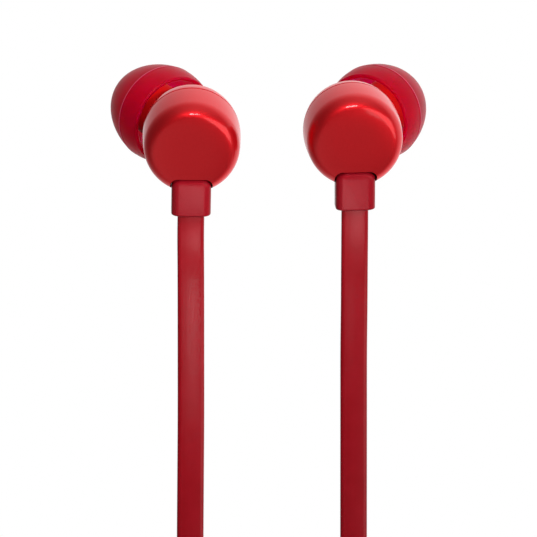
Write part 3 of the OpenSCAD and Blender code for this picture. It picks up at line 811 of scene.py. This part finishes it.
def tip_outline():
    """The ear tip's skin with its mould line, its rolled mouth, its core and the hollow under the skirt."""
    rim_level = TIP_RIM + TIP_WALL / 2
    rim_r = tip_skin(rim_level) - TIP_WALL / 2
    rim = arc((rim_r, rim_level), TIP_WALL / 2, TIP_WALL / 2, 200, 360, 8)
    skirt_levels = spaced(rim_level, SEAM - 2 * SEAM_HALF, SKIRT_STEPS)[1:]
    skirt = [(tip_skin(t), t) for t in skirt_levels]
    ridge = [(tip_skin(t) + SEAM_RISE, t) for t in (SEAM - SEAM_HALF, SEAM + SEAM_HALF)]
    dome = [(tip_skin(t), t) for t in spaced(SEAM + 2 * SEAM_HALF, TIP_SHOULDER, DOME_STEPS)]
    round_start = CORE_END + CORE_EDGE
    bore = [(TIP_MOUTH_R, TIP_BORE_END + CORE_EDGE), (TIP_BORE_R, TIP_BORE_END), (TIP_BORE_R, round_start)]
    core = [(TIP_BORE_R + CORE_EDGE, CORE_END), (NECK_R - CORE_EDGE, CORE_END), (NECK_R, round_start),
            (NECK_R, HOLLOW_END - 0.3), (NECK_R + 0.08, HOLLOW_END - 0.12)]
    hollow = []
    for share in spaced(0, 1, HOLLOW_STEPS)[-4:0:-1]:
        t = TIP_WIDEST + (HOLLOW_END - TIP_WIDEST) * share
        hollow.append((tip_skin(t) - TIP_WALL * (1 + share), t))
    skirt_inside = [(tip_skin(t) - TIP_WALL, t) for t in spaced(TIP_WIDEST, SKIRT_INSIDE_END, 3)]
    return rim + skirt + ridge + dome + TIP_MOUTH + bore + core + hollow + skirt_inside + [rim[0]]


def in_tip(ends):
    """Whether a face of the ear tip is in the hollow under its skirt or inside its core, the faces that take
    the painted glow.
    """
    return all(e.z < HOLLOW_END and e.xy.length < tip_skin(e.z) - INSIDE_DEPTH for e in ends)


def collar_opening(gap, back):
    """The opening for the collar in the cap's rim, round at its upper corners, its walls painted dark as
    shade.
    """
    half = COLLAR_W / 2 + gap
    top = COLLAR_TOP + NOTCH_GAP
    obj = block("opening", (-half, COLLAR_FRONT - 2, COLLAR_BOTTOM - 2), (half, back, top))
    round_edges(obj, lambda ends: along(1)(ends) and ends[0].z > top - HAIR, COLLAR_EDGE_R, EDGE_STEPS)
    paint(obj, [(lacquer, None), (opening_painted_shade, lambda ends: True)])
    return obj


def rounded_post(name, low, high, upright_r, top_round, bottom_round):
    """A block with round upright edges and round ends, each end's round given as (across, in depth)."""
    low, high = Vector(low), Vector(high)
    half = (high - low) / 2
    middle = (high + low) / 2
    obj = block(name, low + Vector((0, 0, bottom_round[0])), high - Vector((0, 0, top_round[0])))
    round_edges(obj, along(2), upright_r, EDGE_STEPS)
    edit(obj, "FACE")
    turns = [math.radians(a) for a in spaced(0, 90, EDGE_STEPS)]
    for way, (across, deep) in ((1, top_round), (-1, bottom_round)):
        level = high.z - across if way > 0 else low.z + across
        pick(obj, "faces", lambda ends: all(abs(e.z - level) < TOUCH for e in ends))
        for before, after in zip(turns, turns[1:]):
            rise = way * across * (math.sin(after) - math.sin(before))
            level += rise
            squeeze = [(h - r * (1 - math.cos(after))) / (h - r * (1 - math.cos(before)))
                       for h, r in ((half.x, across), (half.y, deep))]
            bpy.ops.mesh.extrude_region_move(TRANSFORM_OT_translate={"value": (0, 0, rise)})
            bpy.ops.transform.resize(value=(*squeeze, 1), center_override=(middle.x, middle.y, level))
    close()
    return obj


collars = []
for name, earbud in EARBUDS.items():
    hung = shift(earbud["place"]) @ turned(earbud["turn"])
    housing_axis = hung @ turned((-90, 0, 0))
    nozzle_turn = (NOZZLE_RISE - 90, 0, -earbud["side"] * NOZZLE_ANGLE)
    nozzle_axis = hung @ shift((0, NOZZLE_ROOT, 0)) @ turned(nozzle_turn)

    # The cap's second finish, the opening's painted shade, has no faces until the collar's opening is cut
    cap = lathe(f"{name}_cap", cap_outline(), CAP_STEPS)
    paint(cap, [
        (lacquer, None),
        (opening_painted_shade, lambda ends: False),
        (groove_finish, lambda ends: all(e.z > JOINT - JOINT_BEVEL - HAIR for e in ends)),
    ])
    cap.matrix_world = turned((-90, 0, 0))
    bpy.ops.object.transform_apply()
    cut(cap, collar_opening(HAIR, COLLAR_BACK + NOTCH_GAP))
    cut(cap, collar_opening(NOTCH_GAP, REBATE))
    finish_piece(cap, hung, lacquer, ROOT, [f"{name}_front_cap"])

    shell = lathe(f"{name}_shell", rear_outline(), ROUND_STEPS)
    paint(shell, [
        (abs_red, None),
        (lacquer, lambda ends: all(e.z < LACQUER_END and e.xy.length > LACQUER_FROM_R for e in ends)),
        (groove_finish, lambda ends: all(
            e.z < JOINT + JOINT_BEVEL + HAIR and e.xy.length > GROOVE_FROM_R for e in ends)),
    ])
    finish_piece(shell, housing_axis, abs_red, ROOT, [f"{name}_rear_shell"])
    nozzle = lathe(f"{name}_nozzle", nozzle_outline(), THIN_STEPS)
    finish_piece(nozzle, nozzle_axis, abs_red, ROOT, [f"{name}_rear_shell"])
    dress(f"{name}_nozzle_mesh", woven_mesh(f"woven_steel_mesh_{name}", nozzle_axis))

    tip = lathe(f"{name}_silicone_tip", tip_outline(), ROUND_STEPS)
    # The hollow and the core get colours painted brighter, as light glowing through the thin skirt
    paint(tip, [
        (silicone, None),
        (silicone_inside_painted_glow, in_tip),
        (silicone_core_painted_glow, lambda ends: all(e.z < HOLLOW_END and e.xy.length < NECK_R + 0.1 for e in ends)),
        (mould_line, lambda ends: all(
            abs(e.z - SEAM) < SEAM_HALF + 0.02 and e.xy.length > tip_skin(SEAM) for e in ends)),
    ])
    finish_piece(tip, nozzle_axis, silicone, f"{name}_tip", [f"{name}_ear_tip"], SOFT)

    # Thin silicone passes light: the tip neither shades the housing nor darkens the lacquer's reflections
    tip.visible_glossy = False
    tip.visible_shadow = False

    half = COLLAR_W / 2
    collar = rounded_post(
        f"{name}_collar", (-half, COLLAR_FRONT, COLLAR_BOTTOM), (half, COLLAR_BACK, COLLAR_TOP),
        COLLAR_EDGE_R, COLLAR_TOP_ROUND, COLLAR_BOTTOM_ROUND)
    collars.append(finish_piece(collar, hung, elastomer, ROOT, [f"{name}_strain_relief"], SOFT))

# Y-split, remote, tie and plug


def y_split():
    """A flat block that narrows to the common cable."""
    half = SPLIT_W / 2
    obj = block("y_splitter", (-half, -SPLIT_T / 2, 0), (half, SPLIT_T / 2, SPLIT_L))
    edit(obj)
    cross_cuts(obj, [SPLIT_L * share for share in SPLIT_TAPER])
    pick(obj, "faces", lambda ends: all(e.z > SPLIT_L * SPLIT_TAPER[1] - HAIR for e in ends))
    bpy.ops.transform.resize(value=(SPLIT_NECK_W / SPLIT_W, 1, 1))
    close()
    soften(obj, radius=0.7, segments=4, angle=20)
    place = shift(HANK + Vector((IN_LANE, SPLIT_R, SPLIT_BOTTOM)))
    return finish_piece(obj, place, elastomer, ROOT, ["y_split"], EASY)


def oblong(name, width, length, back, front, edge):
    """A bar with fully round ends, its long side along Z, its front towards -Y with a soft edge."""
    obj = block(name, (-width / 2, front, -length / 2), (width / 2, back, length / 2))
    round_edges(obj, along(1), width / 2 - 0.001, 12)
    if edge:
        round_edges(obj, lambda ends: all(abs(e.y - front) < TOUCH for e in ends), edge, 5)
    return obj


def remote_half(name, side):
    """One half of the remote's moulded shell, split on its middle plane with a fine groove."""
    corner = Vector((REMOTE_W, REMOTE_T, REMOTE_L)) / 2
    obj = block(name, -corner, corner)
    round_edges(obj, along(1), REMOTE_CORNER_R, EDGE_STEPS)
    soften(obj, REMOTE_EDGE_R, segments=6, angle=60)
    edit(obj)
    bpy.ops.mesh.bisect(plane_co=(0, 0, 0), plane_no=(0, side, 0), clear_inner=True, use_fill=True)
    close()
    round_edges(obj, lambda ends: all(abs(e.y) < TOUCH for e in ends), REMOTE_GROOVE, 2)
    return obj


def relief_block(name, node, place, way, size):
    """A strain relief that narrows towards the cable, up (way 1) or down, with two grooves across it."""
    width, depth, length = size
    obj = block(name, (-width / 2, -depth / 2, 0), (width / 2, depth / 2, length))
    edit(obj)
    edges = [g + way_out * GROOVE_HALF for g in RELIEF_GROOVES for way_out in (-1, 1)]
    cross_cuts(obj, [length * share for share in edges])
    pick(obj, "edges", lambda ends: along(2)(ends) and all(
        min(abs(e.z / length - g) for g in RELIEF_GROOVES) < GROOVE_HALF + HAIR for e in ends))
    bpy.ops.transform.resize(value=RELIEF_WAIST)
    pick(obj, "faces", lambda ends: all(e.z > length - HAIR for e in ends))
    bpy.ops.transform.resize(value=RELIEF_TAPER)
    close()
    soften(obj, radius=0.22, segments=3, angle=25)
    flip = turned((0, 180, 0)) if way < 0 else Matrix.Identity(4)
    return finish_piece(obj, shift(place) @ flip, elastomer, ROOT, [node], EASY)


y_splitter = y_split()

remote_shell_front = remote_half("remote_shell_front", -1)
cut(remote_shell_front, oblong("opening", BUTTON_W, BUTTON_L, 1, -REMOTE_T, 0))
deselect()
bpy.ops.mesh.primitive_cylinder_add(
    vertices=32, radius=SOUND_HOLE_R, depth=4, location=(0, -REMOTE_T / 2, SOUND_HOLE_Z),
    rotation=(math.radians(90), 0, 0))
cut(remote_shell_front, bpy.context.object)
finish_piece(remote_shell_front, shift(REMOTE), remote_finish, ROOT, ["remote_front"])
remote_shell_back = remote_half("remote_shell_back", 1)
finish_piece(remote_shell_back, shift(REMOTE), remote_finish, ROOT, ["remote_back"])

button = oblong("remote_key", BUTTON_W - 2 * BUTTON_GAP, BUTTON_L - 2 * BUTTON_GAP,
                BUTTON_BACK, -REMOTE_T / 2 - BUTTON_RISE, BUTTON_EDGE_R)
finish_piece(button, shift(REMOTE), silicone, "button", ["remote_button"], EASY)

above = REMOTE + Vector((0, 0, REMOTE_L / 2))
below = REMOTE - Vector((0, 0, REMOTE_L / 2))
upper_relief = relief_block("remote_relief_above", "remote_upper_relief", above, 1, RELIEF_SIZE)
lower_relief = relief_block("remote_relief_below", "remote_lower_relief", below, -1, RELIEF_SIZE)

tie = block("silicone_tie", (-TIE_X, -TIE_Y, -TIE_H / 2), (TIE_X, TIE_Y, TIE_H / 2))
round_edges(tie, along(2), TIE_CORNER_R, 6)
edit(tie, "FACE")
pick(tie, "faces", lambda ends: max(e.z for e in ends) - min(e.z for e in ends) < HAIR)
bpy.ops.mesh.delete(type="FACE")
close()
band = tie.modifiers.new("band", "SOLIDIFY")
band.thickness = TIE_T
band.offset = 1
apply_modifier(tie, band)
soften(tie, radius=0.25, segments=3, angle=50)
finish_piece(tie, shift(HANK), strap_finish, ROOT, ["cable_tie"], EASY)

plug_top = PLUG + Vector((0, 0, HANDLE_L))
plug_relief = relief_block("plug_strain_relief", "plug_relief", plug_top, 1, PLUG_RELIEF_SIZE)


def handle_outline():
    """The plug's handle: bore, rounded lower edge, three grip grooves and a rounded neck."""
    edge = HANDLE_R - HANDLE_EDGE
    bore_end = (PIN_BORE_R, PIN_BORE_L)
    outline = [bore_end, (PIN_BORE_R, 0), (edge, 0)]
    outline += arc((edge, HANDLE_EDGE), HANDLE_EDGE, HANDLE_EDGE, -80, 0, 5)
    for level in GRIP_GROOVES:
        outline += [(HANDLE_R, level), (HANDLE_R - GRIP_DEPTH, level + 0.14),
                    (HANDLE_R - GRIP_DEPTH, level + 0.36), (HANDLE_R, level + 0.5)]
    neck = HANDLE_L - GRIP_NECK_L
    outline += [(HANDLE_R, neck)]
    outline += arc((HANDLE_R - GRIP_NECK_W, neck), GRIP_NECK_W, GRIP_NECK_L, 10, 90, 9)
    return outline + [(0, HANDLE_L), (0, PIN_BORE_L), bore_end]


def ring_outline(low, high):
    """A band of the jack's shaft."""
    edge = JACK_R - JACK_BEVEL
    return [(RING_HOLE_R, low), (edge, low), (JACK_R, low + JACK_BEVEL), (JACK_R, high - JACK_BEVEL),
            (edge, high), (RING_HOLE_R, high), (RING_HOLE_R, low)]


def banded(name, bands, material, node):
    """Bands of one metal or plastic on the jack's shaft, as one piece."""
    made = [lathe(f"{name}_{i}", ring_outline(low, high), JACK_STEPS) for i, (low, high) in enumerate(bands)]
    deselect()
    for obj in made:
        obj.select_set(True)
    bpy.context.view_layer.objects.active = made[0]
    bpy.ops.object.join()
    made[0].name = name
    return finish_piece(made[0], shift(PLUG), material, ROOT, [node])


def point_outline():
    """The jack's point: a shoulder, the catch's neck and a round nose."""
    shoulder = [(0, POINT_TOP), (JACK_R - JACK_BEVEL, POINT_TOP), (JACK_R, POINT_TOP - JACK_BEVEL)]
    nose = arc((0.9, -12.8), 0.7, 1.2, 10, -70, 8)
    return shoulder + POINT_NECK + nose + [(0, POINT_END)]


plug_grip = lathe("plug_grip", handle_outline(), THIN_STEPS)
finish_piece(plug_grip, shift(PLUG), elastomer, ROOT, ["plug_handle"], EASY)
jack_sleeve = banded("jack_sleeve", SLEEVE_BANDS, gold_finish, "plug_sleeve")
jack_rings = banded("jack_rings", RING_BANDS, gold_finish, "plug_rings")
jack_insulators = banded("jack_insulators", INSULATOR_BANDS, black_plastic, "plug_insulators")
jack_point = lathe("jack_point", point_outline(), JACK_STEPS)
finish_piece(jack_point, shift(PLUG), gold_finish, ROOT, ["plug_tip"], EASY)

# Finishes of the CAD pieces that show or sit inside

INSIDE = {
    "cable_anchor": copper_finish,
    "lead_wires": copper_finish,
    "front_gasket": black_plastic,
    "driver_frame": black_plastic,
    "diaphragm": film_finish,
    "voice_coil": copper_finish,
    "top_plate": steel_finish,
    "magnet": magnet_finish,
    "yoke": steel_finish,
    "damping_ring": paper_finish,
    "terminal_board": board_finish,
}
REMOTE_INSIDE = {
    "remote_board": board_finish,
    "remote_switch": steel_finish,
    "remote_microphone": steel_finish,
}
finishes = {f"{name}_{piece}": finish for name in EARBUDS for piece, finish in INSIDE.items()}
for node, finish in {**finishes, **REMOTE_INSIDE}.items():
    dress(node, finish)

# Floor, world and lamps, in metres

FLOOR_LEVEL = -0.1775
FLOOR_R = 1.5
RAMP = {"interpolation_type": "SMOOTHSTEP"}

# Where the studio's white walls and grey floor fade in: axis, start, end and top
FADES = {
    "wall": ("Y", -0.2, 0.5, 1.0),
    "ceiling": ("Z", 0.35, 1.0, 0.5),
    "side": ("X", -1.1, 0.3, 1.0),
    "below": ("Z", -0.1, -0.6, 1.0),
    "ahead": ("Y", 0.3, -0.3, 1.0),
}


def pale_floor():
    """A pale matt floor that fades to the white of the background towards its edge."""
    deselect()
    bpy.ops.mesh.primitive_circle_add(
        vertices=96, radius=FLOOR_R, fill_type="NGON", location=(0, 0, FLOOR_LEVEL))
    floor = bpy.context.object
    floor.name = "floor"
    bpy.ops.object.transform_apply()
    material, tree, shader = new_material("pale_floor", {"Base Color": linear("#E9E9E9"), "Roughness": 0.9})
    place = add(tree, "ShaderNodeTexCoord")
    reach = add(tree, "ShaderNodeVectorMath", {"operation": "MULTIPLY", 1: (1, 1, 0)},
                {0: place.outputs["Object"]})
    distance = add(tree, "ShaderNodeVectorMath", {"operation": "LENGTH"}, {0: reach.outputs["Vector"]})
    fade = add(tree, "ShaderNodeMapRange", {**RAMP, "From Min": 0.1, "From Max": 0.6, "To Min": 0.5},
               {"Value": distance.outputs["Value"]})
    rays = add(tree, "ShaderNodeLightPath")
    seen = add(tree, "ShaderNodeMath", {"operation": "MULTIPLY"},
               {0: fade.outputs["Result"], 1: rays.outputs["Is Camera Ray"]})
    white = add(tree, "ShaderNodeEmission", {"Strength": 1.0})
    mixed = add(tree, "ShaderNodeMixShader", None,
                {0: seen.outputs["Value"], 1: shader.outputs["BSDF"], 2: white.outputs["Emission"]})
    tree.links.new(mixed.outputs["Shader"], tree.nodes["Material Output"].inputs["Surface"])
    floor.data.materials.append(material)
    floor.visible_glossy = False


def studio_world():
    """White to the eye; in reflections a white back wall and ceiling, and a dim front with a grey floor."""
    world = bpy.data.worlds.new("studio")
    bpy.context.scene.world = world
    world.use_nodes = True
    tree = world.node_tree
    surface = tree.nodes["Background"]
    direction = add(tree, "ShaderNodeTexCoord")
    split = add(tree, "ShaderNodeSeparateXYZ", None, {0: direction.outputs["Generated"]})
    fades = {}
    for name, (axis, start, end, top) in FADES.items():
        fade = add(tree, "ShaderNodeMapRange", {**RAMP, "From Min": start, "From Max": end, "To Max": top},
                   {"Value": split.outputs[axis]})
        fades[name] = fade.outputs["Result"]
    grey = add(tree, "ShaderNodeMapRange",
               {"From Min": -0.3, "From Max": 0.3, "To Min": 0.36, "To Max": 0.1},
               {"Value": split.outputs["X"]})
    either = add(tree, "ShaderNodeMath", {"operation": "MAXIMUM"}, {0: fades["wall"], 1: fades["ceiling"]})
    walls = add(tree, "ShaderNodeMath", {"operation": "MULTIPLY"},
                {0: either.outputs["Value"], 1: fades["side"]})
    front = add(tree, "ShaderNodeMath", {"operation": "MULTIPLY"}, {0: fades["below"], 1: fades["ahead"]})
    ground = add(tree, "ShaderNodeMath", {"operation": "MULTIPLY"},
                 {0: front.outputs["Value"], 1: grey.outputs["Result"]})
    shaded = add(tree, "ShaderNodeMath", {"operation": "MAXIMUM"},
                 {0: walls.outputs["Value"], 1: ground.outputs["Value"]})
    mirrored = add(tree, "ShaderNodeMapRange", {"To Min": 0.1, "To Max": 1.25},
                   {"Value": shaded.outputs["Value"]})
    fill = add(tree, "ShaderNodeMapRange", {"To Min": 0.12, "To Max": 0.5},
               {"Value": shaded.outputs["Value"]})
    rays = add(tree, "ShaderNodeLightPath")
    lit = add(tree, "ShaderNodeMix", None,
              {0: rays.outputs["Is Diffuse Ray"], 2: mirrored.outputs["Result"], 3: fill.outputs["Result"]})
    strength = add(tree, "ShaderNodeMix", {3: 1.0}, {0: rays.outputs["Is Camera Ray"], 2: lit.outputs[0]})
    tree.links.new(strength.outputs[0], surface.inputs["Strength"])
    surface.inputs["Color"].default_value = linear("#FFFFFF")


def hang_lamp(name, data, place, aim, mirrored):
    """Hangs a lamp that the camera doesn't see, and reflections only where it is mirrored."""
    lamp = bpy.data.objects.new(name, data)
    lamp.location = place
    lamp.rotation_euler = (Vector(aim) - Vector(place)).to_track_quat("-Z", "Y").to_euler()
    lamp.visible_camera = False
    lamp.visible_glossy = mirrored
    bpy.context.scene.collection.objects.link(lamp)
    return lamp


def softbox(name, place, aim, size, brightness, mirrored=True, spread=180):
    """A rectangular lamp whose face has this brightness, where 1 is white."""
    data = bpy.data.lights.new(name, "AREA")
    data.shape = "RECTANGLE"
    data.size, data.size_y = size
    data.energy = brightness * math.pi * size[0] * size[1]
    data.spread = math.radians(spread)
    return hang_lamp(name, data, place, aim, mirrored)


def spot(name, place, aim, angle, blend, radius, watts, mirrored=True):
    """A round lamp of this radius that lights a cone of this many degrees, with a soft edge."""
    data = bpy.data.lights.new(name, "SPOT")
    data.energy = watts
    data.shadow_soft_size = radius
    data.spot_size = math.radians(angle)
    data.spot_blend = blend
    return hang_lamp(name, data, place, aim, mirrored)


def sheen_only(lamp, pieces):
    """Keeps a lamp to the gloss of these pieces."""
    lamp.visible_diffuse = False
    receivers = bpy.data.collections.new(f"{lamp.name}_receivers")
    for piece in pieces:
        receivers.objects.link(piece)
    lamp.light_linking.receiver_collection = receivers


MIDDLE = (0, 0, 0)
branches = [left_cord, right_cord]

pale_floor()
studio_world()
softbox("key_lamp", (0.012, -0.22, 0.115), MIDDLE, (0.065, 0.025), 43.0)
softbox("right_lamp", (0.51, -0.48, -0.02), MIDDLE, (0.8, 0.45), 2.3)
softbox("left_fill", (-0.5, -0.35, 0.1), MIDDLE, (0.4, 0.4), 0.15, mirrored=False)
spot("front_spot", (0.22, -0.57, 0.04), (-0.03, 0, 0.01), 11, 0.5, 0.025, 9.0, mirrored=False)

# Gloss alone, for the haze on the collars and the upper cables
sheen_only(softbox("collar_sheen", (0.013, -0.147, -0.139), (0, 0, -0.008), (0.1, 0.1), 6.5), collars)
sheen_only(softbox("bend_sheen", (0.014, -0.16, -0.127), (0, 0, -0.012), (0.1, 0.1), 0.22, spread=24),
           branches)
sheen_only(spot("level_sheen", (-0.005, -0.45, -0.075), (-0.014, 0, -0.0115), 8, 1.0, 0.006, 1.05), branches)

softbox("top_fill", (0, 0.05, 0.5), MIDDLE, (0.5, 0.5), 1.2, mirrored=False)
softbox("back_fill", (0.1, 0.7, 0.2), (0, 0, -0.08), (0.6, 0.6), 2.6, mirrored=False)

bpy.context.scene.view_settings.view_transform = "Standard"
